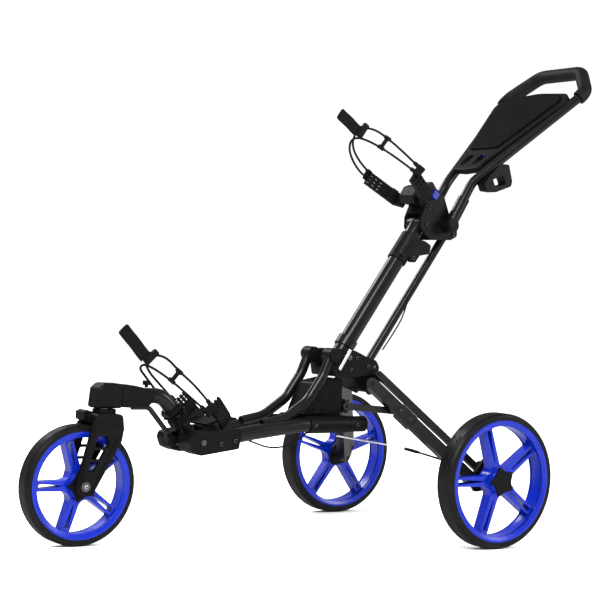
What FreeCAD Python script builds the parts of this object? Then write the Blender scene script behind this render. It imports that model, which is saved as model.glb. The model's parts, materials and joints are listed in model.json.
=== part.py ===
"""Three-wheel golf push trolley, as a parametric assembly of separate pieces.

Forward is -X, the trolley's left side is -Y and +Z is up. The origin is on the ground, in the
middle of the footprint. Lengths are in millimetres. Side profiles are drawn in the XZ plane, and
their points are measured from the ground point under the rear axle (see SizeSheet.at).
"""
import FreeCAD
import Part
import Sketcher

import math
import os

from FreeCAD import Placement, Rotation, Vector

# name: (value, what it is)
SIZES = {
    "rear_axle_x": (273.1, "rear axle, behind the middle of the footprint"),
    "front_axle_x": (-850.0, "front axle, from the rear axle"),
    "swivel_x": (-797.0, "front swivel axis, from the rear axle"),
    "half_track": (295.0, "middle plane to the middle of a rear wheel"),
    "rear_radius": (146.0, "rear tyre, outer radius"),
    "rear_rim_radius": (131.0, "rear rim, outer radius"),
    "rear_width": (46.0, "rear wheel width"),
    "front_radius": (122.7, "front tyre, outer radius"),
    "front_rim_radius": (109.0, "front rim, outer radius"),
    "front_width": (41.0, "front wheel width"),
    "rim_depth": (9.0, "rim barrel thickness"),
    "hub_radius": (27.0, "wheel hub, outer radius"),
    "axle_radius": (6.0, "wheel axles"),
    "running_fit": (0.05, "radial clearance of a turning fit"),
    "spoke_thickness": (26.0, "spoke disc, along the axle"),
    "cover_radius": (34.0, "five-point hub cover, tip radius"),
    "cover_thickness": (4.0, "five-point hub cover"),
    "main_tube_diameter": (38.0, "folding main tube"),
    "rod_diameter": (19.0, "thin rod parallel to the main tube"),
    "stem_diameter": (32.0, "bent front tube"),
    "brace_rod_diameter": (11.0, "thin rod below the front tube"),
    "bottom_tube_diameter": (32.0, "two parallel bottom tubes"),
    "bow_diameter": (22.0, "two curved tubes rising to the hub"),
    "handle_diameter": (22.0, "handle loop tube"),
    "grip_diameter": (33.0, "rubber grip on the handle loop"),
    "tube_wall": (2.0, "wall of every round tube"),
    "leg_height": (26.0, "rear leg, seen from the side"),
    "leg_thickness": (22.0, "rear leg, across"),
    "link_height": (15.0, "thin link beside each rear leg"),
    "link_thickness": (12.0, "thin link, across"),
    "pin_radius": (4.0, "pivot pins"),
    "bungee_diameter": (5.0, "elastic bag cords"),
    "cable_diameter": (5.0, "brake cable"),
    "fork_leg_thickness": (11.0, "fork leg, across"),
    "fork_gap": (25.0, "middle plane to the inside of a fork leg"),
    "tube_spread": (50.0, "middle plane to a bottom tube"),
    "bow_spread": (42.0, "middle plane to a bow tube"),
    "hub_width": (92.0, "centre hub, across"),
    "hub_slot": (50.0, "slot in the centre hub for the main tube"),
    "collar_wall": (6.0, "moulded sleeves around a tube"),
    "arm_thickness": (9.0, "bag arm strip, thickness"),
    "arm_width": (31.0, "bag arm strip, along the bag"),
    "clip_depth": (9.0, "moulded block on the inside of a bag arm"),
    "buckle_thickness": (11.0, "buckle body of an elastic loop"),
    "strap_thickness": (4.0, "pull strap of an elastic loop, with its fold"),
    "strap_width": (24.0, "pull strap of an elastic loop"),
    "block_width": (63.0, "upper block, over its two cheeks"),
    "block_gap": (53.0, "upper block, between its cheeks"),
    "handle_pin_reach": (112.0, "handle pivot shaft, end to end"),
    "bracket_height": (50.0, "upper bag bracket, across"),
    "console_depth": (16.0, "console shell, top to bottom"),
    "lid_thickness": (5.0, "console lid"),
}

SIDES = {"left": -1, "right": 1}


class SizeSheet:
    """The spreadsheet of driving dimensions, read back by name."""

    def __init__(self, doc):
        self.cells = doc.addObject("Spreadsheet::Sheet", "Sizes")
        for row, (name, (value, note)) in enumerate(SIZES.items(), start=1):
            self.cells.set(f"A{row}", name)
            self.cells.set(f"B{row}", str(value))
            self.cells.setAlias(f"B{row}", name)
            self.cells.set(f"C{row}", note)
        doc.recompute()

    def __getattr__(self, name):
        return float(getattr(self.cells, name))

    def at(self, x, z):
        """A point of the XZ plane, given from the ground point under the rear axle."""
        return Vector(x + self.rear_axle_x, z, 0)

    def place(self, x, y, z):
        """A point in space, given from the ground point under the rear axle."""
        return Vector(x + self.rear_axle_x, y, z)


doc = FreeCAD.newDocument("golf_trolley")
size = SizeSheet(doc)
finished = []


# ---------------------------------------------------------------- drawing tools

def new_body(label, shift_y=0.0):
    """A body whose drawing planes are the assembly's, shifted sideways by shift_y."""
    body = doc.addObject("PartDesign::Body", label)
    body.Label = label
    body.Placement = Placement(Vector(0, shift_y, 0), Rotation())
    finished.append(body)
    return body


def plane_of(body, role):
    return [item for item in body.Origin.OriginFeatures if item.Role == role][0]


def new_sketch(body, role="XZ_Plane"):
    sketch = body.newObject("Sketcher::SketchObject", "sketch")
    sketch.AttachmentSupport = [(plane_of(body, role), "")]
    sketch.MapMode = "FlatFace"
    return sketch


def bind(sketch, constraint, name, expression):
    """Adds a dimension to a sketch and ties it to the sheet."""
    index = sketch.addConstraint(constraint)
    sketch.renameConstraint(index, name)
    sketch.setExpression(f"Constraints.{name}", expression)


def draw_circle(sketch, centre, expression, value, name="radius"):
    index = sketch.addGeometry(Part.Circle(centre, Vector(0, 0, 1), value), False)
    bind(sketch, Sketcher.Constraint("Radius", index, value), name, expression)
    bind_point(sketch, index, 3, centre)


def bind_point(sketch, geometry, vertex, point):
    """Holds one point of a drawing where it is, measured from the sketch origin."""
    sketch.addConstraint(Sketcher.Constraint("DistanceX", -1, 1, geometry, vertex, point.x))
    sketch.addConstraint(Sketcher.Constraint("DistanceY", -1, 1, geometry, vertex, point.y))


def corner_arc(before, corner, after, radius):
    """Start, middle and end of the arc that rounds a corner of a path."""
    to_before = (before - corner).normalize()
    to_after = (after - corner).normalize()
    half = to_before.getAngle(to_after) / 2
    reach = radius / math.tan(half)
    bisector = (to_before + to_after).normalize()
    middle = corner + bisector * (radius / math.sin(half) - radius)
    return corner + to_before * reach, middle, corner + to_after * reach


def path_edges(points, radii, closed):
    """Straight runs joined by tangent arcs; a radius of 0 leaves the corner sharp."""
    count = len(points)
    starts, ends, arcs = [], [], []
    for index, point in enumerate(points):
        is_end = not closed and index in (0, count - 1)
        if is_end or radii[index] == 0:
            starts.append(point)
            ends.append(point)
            arcs.append(None)
            continue
        before = points[index - 1]
        after = points[(index + 1) % count]
        start, middle, end = corner_arc(before, point, after, radii[index])
        starts.append(start)
        ends.append(end)
        arcs.append(Part.Arc(start, middle, end))
    edges = []
    last = count if closed else count - 1
    for index in range(count):
        if arcs[index]:
            edges.append(arcs[index])
        following = starts[(index + 1) % count]
        if index < last and (ends[index] - following).Length > 1e-4:
            edges.append(Part.LineSegment(ends[index], following))
    return edges


def draw_outline(sketch, points, radii=0.0):
    """A closed outline with rounded corners, fixed where it is drawn."""
    if not isinstance(radii, (list, tuple)):
        radii = [radii] * len(points)
    indexes = sketch.addGeometry(path_edges(points, radii, True), False)
    for index in indexes:
        sketch.addConstraint(Sketcher.Constraint("Block", index))


def pad(body, sketch, expression, both_ways=True, reverse=False):
    feature = body.newObject("PartDesign::Pad", "pad")
    feature.Profile = sketch
    feature.setExpression("Length", expression)
    feature.Midplane = both_ways
    feature.Reversed = reverse
    return feature


def pocket(body, sketch, expression=None):
    """Cuts a sketch through the body, or as wide as the expression, half to each side."""
    feature = body.newObject("PartDesign::Pocket", "pocket")
    feature.Profile = sketch
    feature.Midplane = True
    if expression:
        feature.setExpression("Length", expression)
    else:
        feature.Length = 2000
    return feature


def pad_profile(body, points, radii, expression):
    sketch = new_sketch(body)
    draw_outline(sketch, points, radii)
    return pad(body, sketch, expression)


def cut_profile(body, points, radii, expression=None):
    sketch = new_sketch(body)
    draw_outline(sketch, points, radii)
    return pocket(body, sketch, expression)


def cut_bore(body, centre, expression, value):
    sketch = new_sketch(body)
    draw_circle(sketch, centre, expression, value)
    return pocket(body, sketch)


def turn(body, points, radii=0.0, role="XY_Plane", axis="V_Axis"):
    """A solid of revolution about the sketch's own vertical axis."""
    sketch = new_sketch(body, role)
    draw_outline(sketch, points, radii)
    feature = body.newObject("PartDesign::Revolution", "revolution")
    feature.Profile = sketch
    feature.ReferenceAxis = (sketch, [axis])
    feature.Angle = 360
    return feature


def around(body, feature, count):
    """Repeats a feature about the body's own Y axis."""
    pattern = body.newObject("PartDesign::PolarPattern", "pattern")
    pattern.Originals = [feature]
    pattern.Axis = (plane_of(body, "Y_Axis"), [""])
    pattern.Angle = 360
    pattern.Occurrences = count
    body.Tip = pattern
    return pattern


def soften(body, wanted, radius):
    """Rounds those edges of the body so far that a test picks out."""
    doc.recompute()
    shaped = body.Tip
    names = [f"Edge{number + 1}" for number, edge in enumerate(shaped.Shape.Edges) if wanted(edge)]
    feature = body.newObject("PartDesign::Fillet", "soft_edges")
    feature.Base = (shaped, names)
    feature.Radius = radius
    return feature


def along(start, end):
    """A placement at start whose own Z axis points to end."""
    return Placement(start, Rotation(Vector(0, 0, 1), end - start))


def round_solid(body, kind, start, end, expression):
    """An AdditiveCylinder or SubtractiveCylinder between two points in space."""
    feature = body.newObject(f"PartDesign::{kind}Cylinder", "round")
    feature.setExpression("Radius", expression)
    feature.Height = (end - start).Length
    feature.Placement = along(start, end)
    return feature


def pipe_in_plane(label, shift_y, points, radii, diameter):
    """A round tube bent in a plane parallel to XZ."""
    body = new_body(label, shift_y)
    spine = new_sketch(body)
    indexes = spine.addGeometry(path_edges(points, radii, False), False)
    for index in indexes:
        spine.addConstraint(Sketcher.Constraint("Block", index))
    doc.recompute()
    section = body.newObject("Sketcher::SketchObject", "section")
    section.AttachmentSupport = [(spine, "Edge1")]
    section.MapMode = "NormalToEdge"
    section.MapPathParameter = 0.0
    outer = getattr(size, diameter) / 2
    draw_circle(section, Vector(0, 0, 0), f"Sizes.{diameter} / 2", outer, "outer")
    inner = outer - size.tube_wall
    draw_circle(section, Vector(0, 0, 0), f"Sizes.{diameter} / 2 - Sizes.tube_wall", inner, "inner")
    feature = body.newObject("PartDesign::AdditivePipe", "pipe")
    feature.Profile = section
    feature.Spine = (spine, [f"Edge{number + 1}" for number in range(len(indexes))])
    doc.recompute()
    return body


def space_path(points, radii):
    edges = [edge.toShape() for edge in path_edges(points, radii, False)]
    return Part.Wire(edges)


def swept_round(path, radius):
    """A solid rod swept along a bent path in space."""
    start = path.Edges[0].valueAt(path.Edges[0].FirstParameter)
    direction = path.Edges[0].tangentAt(path.Edges[0].FirstParameter)
    profile = Part.Wire([Part.Circle(start, direction, radius).toShape()])
    return path.makePipeShell([profile], True, False)


def keep_shape(label, shape):
    feature = doc.addObject("Part::Feature", label)
    feature.Label = label
    feature.Shape = shape
    feature.Placement = Placement()
    finished.append(feature)
    return feature


def flat_bar(label, start, end, axis, height, thickness, hole=True):
    """A bar with round ends and a pivot hole at each, drawn in its own tilted plane."""
    body = new_body(label)
    direction = (end - start).normalize()
    across = Vector(axis).normalize()
    body.Placement = Placement(start, Rotation(direction, across, direction.cross(across), "XYZ"))
    length = (end - start).Length
    half = getattr(size, height) / 2
    reach = half * 0.98
    outline = [
        Vector(-half, -half, 0), Vector(length + half, -half, 0),
        Vector(length + half, half, 0), Vector(-half, half, 0),
    ]
    pad_profile(body, outline, reach, f"Sizes.{thickness}")
    if hole:
        for distance in (0, length):
            cut_bore(body, Vector(distance, 0, 0), "Sizes.pin_radius + Sizes.running_fit",
                     size.pin_radius + size.running_fit)
    return body


# ---------------------------------------------------------------- wheels

SPOKE_HALF = 9.5
SPOKE_NECK_RADIUS = 18.0


def wheel_rim(label, centre, rim_radius, width, first_spoke):
    """Barrel, hub and a disc whose windows and slots leave five twin-rib spokes."""
    body = new_body(label)
    body.Placement = Placement(centre, Rotation(Vector(0, 1, 0), first_spoke))
    radius = getattr(size, rim_radius)
    half = getattr(size, width) / 2
    bore = size.axle_radius + size.running_fit
    disc = size.spoke_thickness / 2
    barrel = radius - size.rim_depth
    turn(body, [
        Vector(bore, -half, 0), Vector(size.hub_radius, -half, 0), Vector(size.hub_radius, -disc, 0),
        Vector(barrel, -disc, 0), Vector(barrel - 4, 3 - half, 0), Vector(radius - 4, -half, 0),
        Vector(radius, -half, 0), Vector(radius, half, 0), Vector(radius - 4, half, 0),
        Vector(barrel - 4, half - 3, 0), Vector(barrel, disc, 0),
        Vector(size.hub_radius, disc, 0), Vector(size.hub_radius, half, 0), Vector(bore, half, 0),
    ])
    wedge = math.radians(36)
    reach = barrel - 3
    side = math.asin(SPOKE_HALF / reach)
    corner = Vector(math.cos(wedge), math.sin(wedge), 0) * ((SPOKE_HALF + 2) / math.sin(wedge))
    start = Vector(reach * math.cos(side), reach * math.sin(side), 0)
    middle = Vector(reach * math.cos(wedge), reach * math.sin(wedge), 0)
    end = Vector(reach * math.cos(2 * wedge - side), reach * math.sin(2 * wedge - side), 0)
    neck_end, neck_middle, neck_start = corner_arc(start, corner, end, SPOKE_NECK_RADIUS)
    window = new_sketch(body)
    for index in window.addGeometry([
        Part.Arc(start, middle, end), Part.LineSegment(end, neck_start),
        Part.Arc(neck_start, neck_middle, neck_end), Part.LineSegment(neck_end, start),
    ], False):
        window.addConstraint(Sketcher.Constraint("Block", index))
    around(body, pocket(body, window), 5)
    slot = new_sketch(body)
    slot_start = size.hub_radius + 14
    slot_half = SPOKE_HALF - 4
    draw_outline(slot, [
        Vector(slot_start, -1, 0), Vector(reach - 5, -slot_half, 0),
        Vector(reach - 5, slot_half, 0), Vector(slot_start, 1, 0),
    ], [0.9, slot_half - 0.5, slot_half - 0.5, 0.9])
    around(body, pocket(body, slot), 5)
    return body


def wheel_tyre(label, centre, radius_name, rim_radius, width):
    """A solid foam-rubber tyre sitting on the rim barrel."""
    body = new_body(label)
    body.Placement = Placement(centre, Rotation())
    outer = getattr(size, radius_name)
    inner = getattr(size, rim_radius)
    half = getattr(size, width) / 2
    turn(body, [
        Vector(inner, -half, 0), Vector(outer - 5, -half, 0), Vector(outer, 6 - half, 0),
        Vector(outer, half - 6, 0), Vector(outer - 5, half, 0), Vector(inner, half, 0),
    ], [0, 3, 5, 5, 3, 0])
    return body


def hub_cover(label, centre, outward, width, first_spoke, bored):
    """A five-point star cap on the outer face of the hub."""
    half = getattr(size, width) / 2
    body = new_body(label)
    middle = centre + Vector(0, outward * (half + size.cover_thickness / 2), 0)
    body.Placement = Placement(middle, Rotation(Vector(0, 1, 0), first_spoke))
    star = []
    for step in range(10):
        angle = math.radians(36 * step)
        reach = size.cover_radius if step % 2 == 0 else size.cover_radius * 0.66
        star.append(Vector(reach * math.cos(angle), reach * math.sin(angle), 0))
    pad_profile(body, star, [2 if step % 2 == 0 else 5 for step in range(10)], "Sizes.cover_thickness")
    if bored:
        cut_bore(body, Vector(0, 0, 0), "Sizes.axle_radius + Sizes.running_fit",
                 size.axle_radius + size.running_fit)
    return body


def make_wheel(name, centre, radius_name, rim_radius, width, outward, first_spoke):
    axle_goes_through = name == "front"
    wheel_tyre(f"{name}_tyre", centre, radius_name, rim_radius, width)
    wheel_rim(f"{name}_rim", centre, rim_radius, width, first_spoke)
    hub_cover(f"{name}_hub_cover", centre, outward, width, first_spoke, axle_goes_through)


def axle(label, centre, start, end, head):
    """A round axle between two sideways distances, with a low round head at one end."""
    body = new_body(label)
    body.Placement = Placement(centre, Rotation())
    radius = size.axle_radius
    low, high = sorted((start, end))
    head_low, head_high = (low - 3, low) if head < 0 else (high, high + 3)
    turn(body, [
        Vector(0, low, 0), Vector(radius, low, 0), Vector(radius, high, 0), Vector(0, high, 0),
    ])
    turn(body, [
        Vector(0, head_low, 0), Vector(radius + 4, head_low, 0),
        Vector(radius + 4, head_high, 0), Vector(0, head_high, 0),
    ])
    return body


front_centre = size.place(size.front_axle_x, 0, size.front_radius)
make_wheel("front", front_centre, "front_radius", "front_rim_radius", "front_width", -1, 180)
outer_fork = size.fork_gap + size.fork_leg_thickness
axle("front_axle_bolt", front_centre, -outer_fork, outer_fork, -1)
for name, side in SIDES.items():
    centre = size.place(0, side * size.half_track, size.rear_radius)
    first = 180 if side < 0 else 54
    make_wheel(f"rear_{name}", centre, "rear_radius", "rear_rim_radius", "rear_width", side, first)
    inner_end = -side * (size.rear_width / 2 + 22)
    axle(f"rear_{name}_axle", centre, inner_end, side * size.rear_width / 2, -side)


# ---------------------------------------------------------------- front fork and head

def fork_leg_outline():
    """One fork leg, seen from the side: two bars that spread from the axle to the crown."""
    return [
        size.at(-869, 122), size.at(-864, 105), size.at(-836, 104), size.at(-828, 114),
        size.at(-772, 214), size.at(-768, 238), size.at(-772, 268), size.at(-831, 268),
        size.at(-840, 232),
    ]


FORK_WINDOWS = [
    [(-846, 152), (-831, 152), (-820, 172), (-841, 172)],
    [(-840, 177), (-818, 177), (-807, 196), (-834, 196)],
    [(-833, 201), (-804, 201), (-799, 210), (-806, 224), (-826, 224)],
]


def make_fork():
    """Crown, collar and two ladder-shaped legs in one moulding."""
    body = new_body("front_fork")
    outer = "2 * (Sizes.fork_gap + Sizes.fork_leg_thickness)"
    pad_profile(body, fork_leg_outline(), [12, 10, 10, 12, 12, 14, 10, 8, 12], outer)
    x, radius = size.front_axle_x, size.front_radius
    gap = [
        size.at(x - 60, 60), size.at(x + 130, 60), size.at(x + 130, radius + 129),
        size.at(x - 60, radius + 129),
    ]
    cut_profile(body, gap, 0, "2 * Sizes.fork_gap")
    for window in FORK_WINDOWS:
        cut_profile(body, [size.at(*point) for point in window], 3)
    cut_bore(body, size.at(x, radius), "Sizes.axle_radius", size.axle_radius)
    swivel = size.place(size.swivel_x, 0, 0)
    round_solid(body, "Additive", swivel + Vector(0, 0, 266), swivel + Vector(0, 0, 276),
                "Sizes.stem_diameter / 2 + 8")
    round_solid(body, "Subtractive", swivel + Vector(0, 0, 250), swivel + Vector(0, 0, 280),
                "Sizes.axle_radius + 2")
    return body


def make_front():
    """Fork, swivel pin, head housing, lock knob, bent front tube and the rod below it."""
    make_fork()
    swivel = size.place(size.swivel_x, 0, 0)

    pin = new_body("fork_stem_pin")
    round_solid(pin, "Additive", swivel + Vector(0, 0, 254), swivel + Vector(0, 0, 318),
                "Sizes.axle_radius + 2 - Sizes.running_fit")

    block = new_body("fork_tracking_block")
    pad_profile(block, [
        size.at(-852, 255), size.at(-838, 250), size.at(-833, 260), size.at(-832, 272),
        size.at(-843, 275), size.at(-853, 271),
    ], 3, "Sizes.fork_gap + 9")
    for step in range(3):
        cut_profile(block, [size.at(-849, 255 + 6 * step), size.at(-840, 254 + 6 * step),
                            size.at(-840, 257 + 6 * step), size.at(-849, 258 + 6 * step)], 0)

    head = new_body("front_head_housing")
    pad_profile(head, [
        size.at(-826, 278), size.at(-768, 278), size.at(-764, 300), size.at(-766, 328),
        size.at(-810, 329), size.at(-822, 318),
    ], [5, 3, 5, 6, 12, 6], "Sizes.stem_diameter + 14")
    soften(head, lambda edge: edge.BoundBox.YLength < 0.01 and edge.BoundBox.ZMax > 290, 7)
    pad_profile(head, [
        size.at(-780, 281), size.at(-742, 279), size.at(-706, 281), size.at(-690, 296),
        size.at(-694, 316), size.at(-740, 325), size.at(-780, 327),
    ], [0, 2, 5, 8, 6, 8, 0], "Sizes.stem_diameter + 5")
    round_solid(head, "Subtractive", swivel + Vector(0, 0, 270), swivel + Vector(0, 0, 319),
                "Sizes.axle_radius + 2")
    tunnel_start, tunnel_end = size.place(-772, 0, 303), size.place(-680, 0, 303)
    round_solid(head, "Subtractive", tunnel_start, tunnel_end, "Sizes.stem_diameter / 2")

    knob = new_body("front_lock_knob")
    base = size.place(-702, 0, 322)
    shank_end = base - Vector(0, 0, 2)
    round_solid(head, "Subtractive", shank_end, base + Vector(0, 0, 4), "3.5")
    round_solid(knob, "Additive", shank_end, base + Vector(0, 0, 4), "3.5")
    round_solid(knob, "Additive", base + Vector(0, 0, 3), base + Vector(0, 0, 12), "8")

    pipe_in_plane("front_stem_tube", 0, [
        size.at(-772, 303), size.at(-664, 303), size.at(-597, 224),
    ], [0, 40, 0], "stem_diameter")
    stem = doc.getObject("front_stem_tube")
    pad_profile(stem, [
        size.at(-613, 226), size.at(-618, 200), size.at(-603, 190), size.at(-584, 196),
        size.at(-578, 214), size.at(-590, 232),
    ], 8, "Sizes.stem_diameter")
    cut_bore(stem, front_fold_pivot(), "Sizes.pin_radius + 2 + Sizes.running_fit",
             size.pin_radius + 2 + size.running_fit)

    socket_mouth, socket_floor = size.at(-634, 212), size.at(-612, 201.7)
    pipe_in_plane("front_brace_rod", 0, [
        size.at(-734, 279), size.at(-694, 279), socket_mouth, socket_floor,
    ], [0, 18, 12, 0], "brace_rod_diameter")
    round_solid(stem, "Subtractive", Vector(socket_mouth.x, 0, socket_mouth.y),
                Vector(socket_floor.x, 0, socket_floor.y), "Sizes.brace_rod_diameter / 2")
    round_solid(head, "Subtractive", size.place(-734, 0, 279), size.place(-686, 0, 279),
                "Sizes.brace_rod_diameter / 2")


# ---------------------------------------------------------------- lower frame

# Bottom tube and bow tube, seen from the side.
BOTTOM_TUBE_ROUTE = [(-596, 209), (-470, 229.5), (-350, 245), (-195, 246.5)]
BOW_ROUTE = [(-440, 246), (-385, 257), (-325, 297), (-287, 352), (-268, 400)]


def front_fold_pivot():
    return size.at(-598, 211)


def make_base():
    """Casting with two cheeks that hold the front tube's pivot and the two bottom tubes."""
    body = new_body("base_casting")
    outline = [
        size.at(-634, 212), size.at(-626, 192), size.at(-604, 184), size.at(-512, 197),
        size.at(-507, 222), size.at(-510, 240), size.at(-560, 236), size.at(-608, 230),
        size.at(-630, 224),
    ]
    pad_profile(body, outline, [8, 10, 10, 5, 5, 6, 10, 10, 6], "2 * Sizes.tube_spread + 36")
    cut_profile(body, [size.at(-650, 150), size.at(-566, 150), size.at(-566, 270),
                       size.at(-650, 270)], [0, 20, 20, 0], "Sizes.stem_diameter + 6")
    cut_profile(body, [size.at(-556, 205), size.at(-500, 212), size.at(-500, 270),
                       size.at(-556, 270)], [8, 0, 0, 8], "2 * Sizes.tube_spread - 36")
    for shift in (-1, 1):
        y = shift * size.tube_spread
        start, bend = [size.place(point[0], y, point[1]) for point in BOTTOM_TUBE_ROUTE[:2]]
        round_solid(body, "Subtractive", start, bend, "Sizes.bottom_tube_diameter / 2")
    cut_bore(body, front_fold_pivot(), "Sizes.pin_radius + 2", size.pin_radius + 2)

    cradle = new_body("lower_bag_cradle")
    pad_profile(cradle, [
        size.at(-577, 243), size.at(-548, 252), size.at(-506, 256), size.at(-506, 261),
        size.at(-549, 257), size.at(-579, 248),
    ], 1.5, "2 * Sizes.tube_spread - 12")
    return body


# Nine slots through each bag arm, in three columns; the steps are shares of the outer run.
HOLE_LENGTH = 6.5
HOLE_HEIGHT = 4.5
HOLE_DEPTH = 30.0
HOLE_COLUMNS = (-9, 0, 9)
HOLE_STEPS = (0.58, 0.74, 0.9)


def strip_outline(path, thickness):
    """The outline of a bent strip of even thickness about three points of a plane."""
    first = (path[1] - path[0]).normalize()
    second = (path[2] - path[1]).normalize()
    first_normal = Vector(-first.y, first.x, 0)
    second_normal = Vector(-second.y, second.x, 0)
    corner = (first_normal + second_normal) * (1 / (1 + first_normal.dot(second_normal)))
    half = thickness / 2
    steps = [first_normal * half, corner * half, second_normal * half]
    return [point + step for point, step in zip(path, steps)] + [
        point - step for point, step in zip(reversed(path), reversed(steps))
    ]


def make_bag_arm(label, root, elbow, tip, along_bag):
    """A cranked arm that cradles the bag: a strip as wide as the bag lies along it."""
    body = new_body(label)
    outward = Vector(-along_bag.z, 0, along_bag.x)
    body.Placement = Placement(elbow, Rotation(outward, Vector(0, -1, 0), along_bag, "ZXY"))
    to_plane = body.Placement.inverse().multVec
    path = [Vector(point.x, point.y, 0) for point in (to_plane(root), Vector(), to_plane(tip))]
    sketch = new_sketch(body, "XY_Plane")
    draw_outline(sketch, strip_outline(path, size.arm_thickness), 2.5)
    pad(body, sketch, "Sizes.arm_width")
    heading = path[2].normalize()
    length = to_plane(tip).Length
    inner = Vector(-heading.y, heading.x, 0)
    if inner.y * elbow.y < 0:
        inner = inner * -1
    clip = new_sketch(body, "XY_Plane")
    low, high = size.arm_thickness / 2 - 1, size.arm_thickness / 2 + size.clip_depth
    draw_outline(clip, [
        heading * 5 + inner * low, heading * 5 + inner * high,
        heading * 22 + inner * high, heading * 22 + inner * low,
    ], [0, 2, 2, 0])
    pad(body, clip, "Sizes.arm_width - 4")
    turned = Rotation(heading, Vector(), Vector(0, 0, 1), "ZXY")
    corner = Vector(-HOLE_LENGTH / 2, -HOLE_DEPTH / 2, -HOLE_HEIGHT / 2)
    for across in HOLE_COLUMNS:
        for step in HOLE_STEPS:
            hole = body.newObject("PartDesign::SubtractiveBox", "hole")
            hole.Length = HOLE_LENGTH
            hole.Width = HOLE_DEPTH
            hole.Height = HOLE_HEIGHT
            middle = heading * (length * step) + Vector(0, 0, across)
            hole.Placement = Placement(middle, turned) * Placement(corner, Rotation())
    return body


# Each bag rest: arm root, elbow and tip on the right side, and the direction of the bag.
BAG_RESTS = {
    "lower": ((-530, 52, 255), (-552, 64, 265), (-594, 72, 285), (0.72, 0.69)),
    "upper": ((-15, 33, 762), (-32, 60, 757), (-90, 86, 815), (0.565, 0.825)),
}

# Elastic loops, from the left arm's tip over the crown to the right arm's tip, with half the
# distance between the two strands at each place.
BUNGEE_ROUTES = {
    "lower": [
        (-600, -72, 289, 9), (-630, -62, 319, 13), (-663, -50, 347, 13), (-692, -37, 373, 18),
        (-707, -12, 379, 14), (-705, 17, 365, 9), (-682, 33, 344, 6), (-640, 53, 312, 8),
        (-608, 72, 290, 9),
    ],
    "upper": [
        (-97, -87, 820, 8), (-127, -67, 848, 11), (-155, -48, 871, 14), (-177, -30, 887, 16),
        (-193, -8, 893, 14), (-198, 16, 881, 8), (-182, 40, 856, 7), (-142, 65, 828, 8),
        (-104, 85, 812, 8),
    ],
}


# How far the end of each pull strap lies from the crown of its loop.
STRAP_REACH = {"lower": 106.0, "upper": 84.0}


def make_bag_rests():
    """Lower and upper pair of bag arms, each with an elastic loop."""
    for level, (root, elbow, tip, bag) in BAG_RESTS.items():
        along_bag = Vector(bag[0], 0, bag[1]).normalize()
        for name, side in SIDES.items():
            points = [size.place(x, side * y, z) for x, y, z in (root, elbow, tip)]
            make_bag_arm(f"{level}_bag_arm_{name}", *points, along_bag)
        make_bungee(level, along_bag)


def widest_radii(points):
    """The largest tangent arc at each corner: 0.45 of the shorter run beside it."""
    radii = [0]
    for before, corner, after in zip(points, points[1:], points[2:]):
        turn_angle = (corner - before).getAngle(after - corner)
        shorter = min((corner - before).Length, (after - corner).Length)
        radii.append(0.45 * shorter / math.tan(turn_angle / 2))
    return radii + [0]


def make_bungee(level, along_bag):
    """One elastic loop over the crown and back beside itself, with its buckle and pull strap."""
    centres = [size.place(*place[:3]) for place in BUNGEE_ROUTES[level]]
    gaps = [place[3] for place in BUNGEE_ROUTES[level]]
    out = [centre + along_bag * gap for centre, gap in zip(centres, gaps)]
    back = [centre - along_bag * gap for centre, gap in zip(centres, gaps)]
    heading = (centres[-1] - centres[-2]).normalize() * gaps[-1]
    route = out[:-1] + [out[-1] + heading, back[-1] + heading] + back[:-1][::-1]
    cord = swept_round(space_path(route, widest_radii(route)), size.bungee_diameter / 2)
    keep_shape(f"{level}_bungee", cord)

    crown = (centres[4] + centres[3]) * 0.5
    outward = Vector(-along_bag.z, 0, along_bag.x)
    body = new_body(f"{level}_bungee_buckle")
    body.Placement = Placement(crown, Rotation(outward, Vector(0, 1, 0), along_bag, "XZY"))
    pad_profile(body, [
        Vector(4, -19, 0), Vector(22, -19, 0), Vector(22, 16, 0), Vector(4, 19, 0),
    ], 3, "Sizes.buckle_thickness")
    low, reach = 2 - size.strap_width, STRAP_REACH[level]
    pad_profile(body, [
        Vector(20, low, 0), Vector(reach, low, 0), Vector(reach, 2, 0), Vector(20, 2, 0),
    ], [0, 4, 4, 0], "Sizes.strap_thickness")


def make_bottom_tubes():
    """Two parallel bottom tubes with moulded tail caps, and the bow tubes that rise from them."""
    for name, side in SIDES.items():
        y = side * size.tube_spread
        tube = pipe_in_plane(f"bottom_tube_{name}", y, [size.at(*p) for p in BOTTOM_TUBE_ROUTE],
                             [0, 300, 300, 0], "bottom_tube_diameter")
        cut_bore(tube, front_fold_pivot(), "Sizes.pin_radius + 2", size.pin_radius + 2)
        sleeve = new_body(f"tube_tail_cap_{name}")
        bend, mouth = [size.place(point[0], y, point[1]) for point in BOTTOM_TUBE_ROUTE[2:]]
        heading = (mouth - bend).normalize()
        start, end = bend + heading * 22, mouth + heading * 17
        round_solid(sleeve, "Additive", start, end - heading * 50,
                    "Sizes.bottom_tube_diameter / 2 + Sizes.collar_wall / 2")
        round_solid(sleeve, "Additive", start, end, "Sizes.bottom_tube_diameter / 2 + 1.5")
        round_solid(sleeve, "Subtractive", start - heading * 5, mouth,
                    "Sizes.bottom_tube_diameter / 2")

        # The bow's foot is shaped to sit over the bottom tube.
        bow_y = side * size.bow_spread
        bow = pipe_in_plane(f"bow_tube_{name}", bow_y, [size.at(*p) for p in BOW_ROUTE],
                            [0, 60, 70, 70, 0], "bow_diameter")
        beside = side * (size.tube_spread - size.bow_spread)
        for start, end in ((size.place(-470, beside, 229.5), size.place(-355, beside, 244.6)),
                           (size.place(-365, beside, 244), size.place(-190, beside, 246.5))):
            round_solid(bow, "Subtractive", start, end, "Sizes.bottom_tube_diameter / 2")


def leg_root(side):
    return size.place(-166, side * 60, 334)


def leg_foot(side):
    return size.place(-18, side * 234, 143)


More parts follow.
